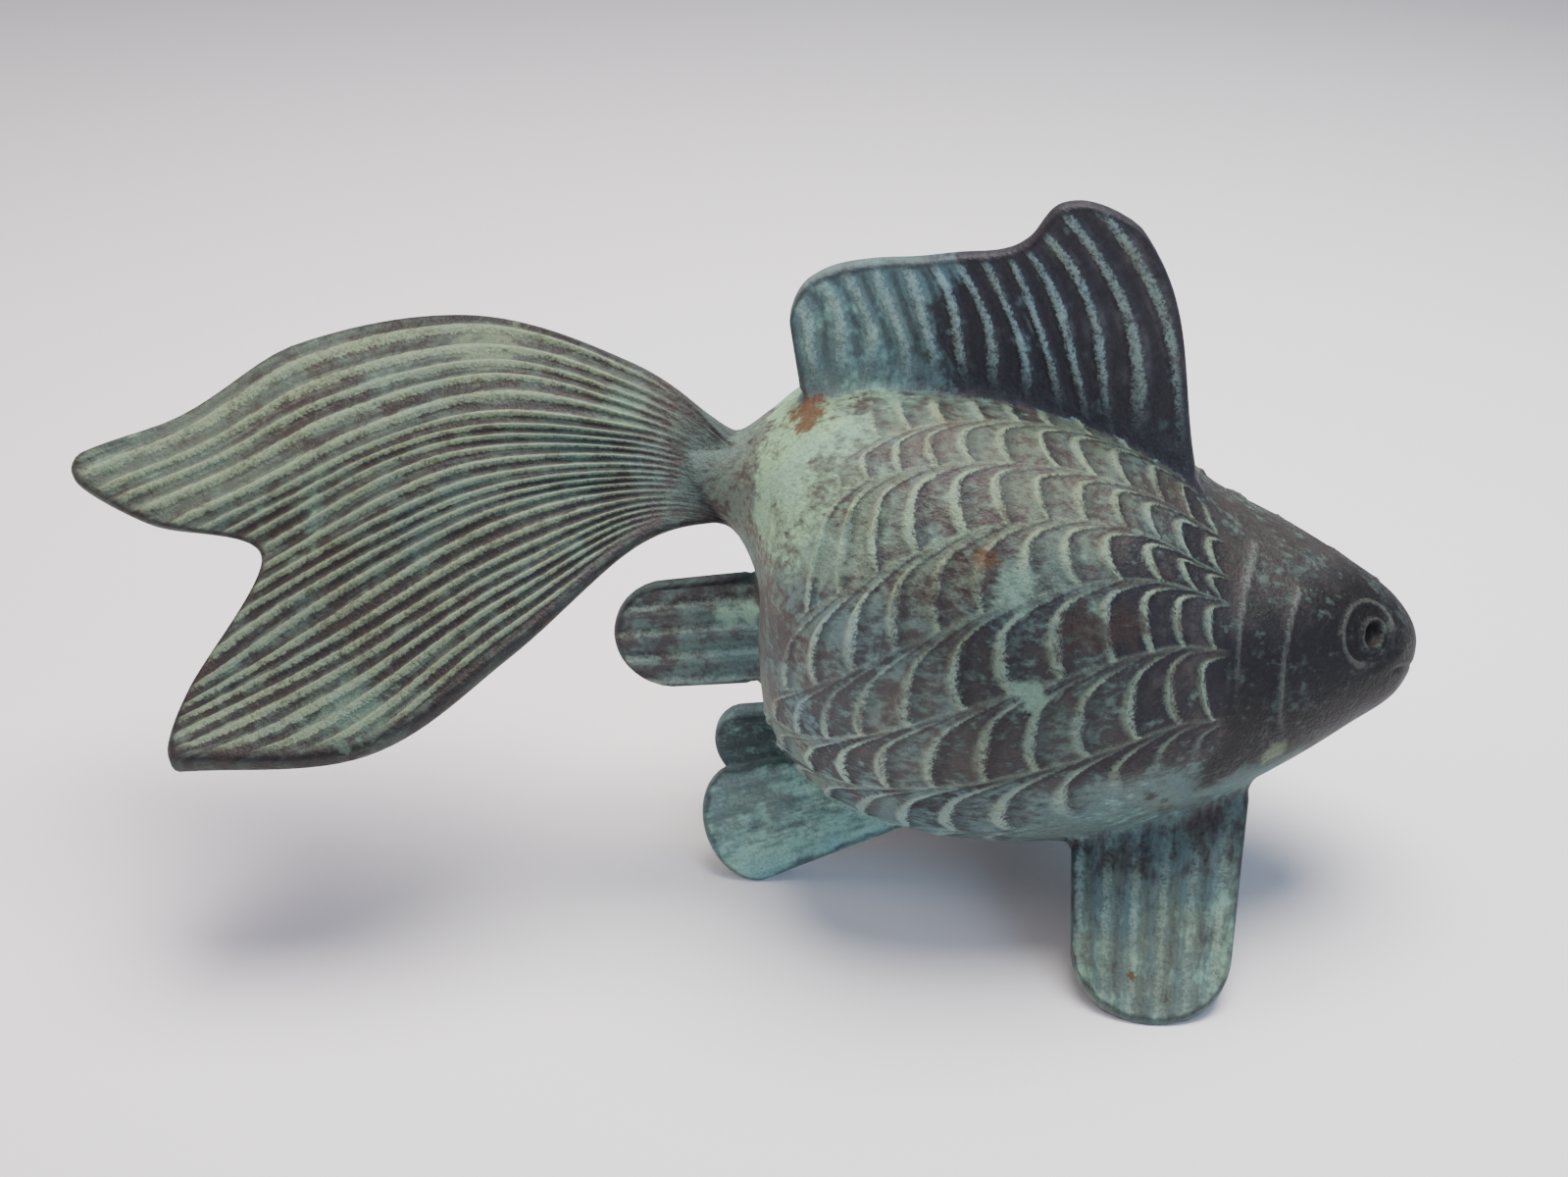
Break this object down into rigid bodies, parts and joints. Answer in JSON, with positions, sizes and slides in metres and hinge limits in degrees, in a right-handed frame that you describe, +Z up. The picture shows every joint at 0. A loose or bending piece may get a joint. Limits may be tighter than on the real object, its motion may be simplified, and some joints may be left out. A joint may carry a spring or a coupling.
{
  "type": "goldfish figurine",
  "caption": "Cast goldfish that stands on its paired fins, with a ribbed fan tail twisted to one side and a tall ribbed back fin; rests on a table or floor as an ornament.",
  "frame": {"origin": "centre of the bounding box in plan, on the plane of the fins' soles", "axes": "+X from the tail towards the nose, +Y towards the fish's left side, +Z up; the side seen in the picture is the right side, facing -Y"},
  "size_m": [0.2694, 0.1176, 0.1421],
  "materials": {
    "bronze": "cast bronze with a brown and slate ground, matt blue-green and mint verdigris on the raised scales and ribs"
  },
  "bodies": {
    "root": {"goldfish": "bronze"}
  },
  "joints": []
}
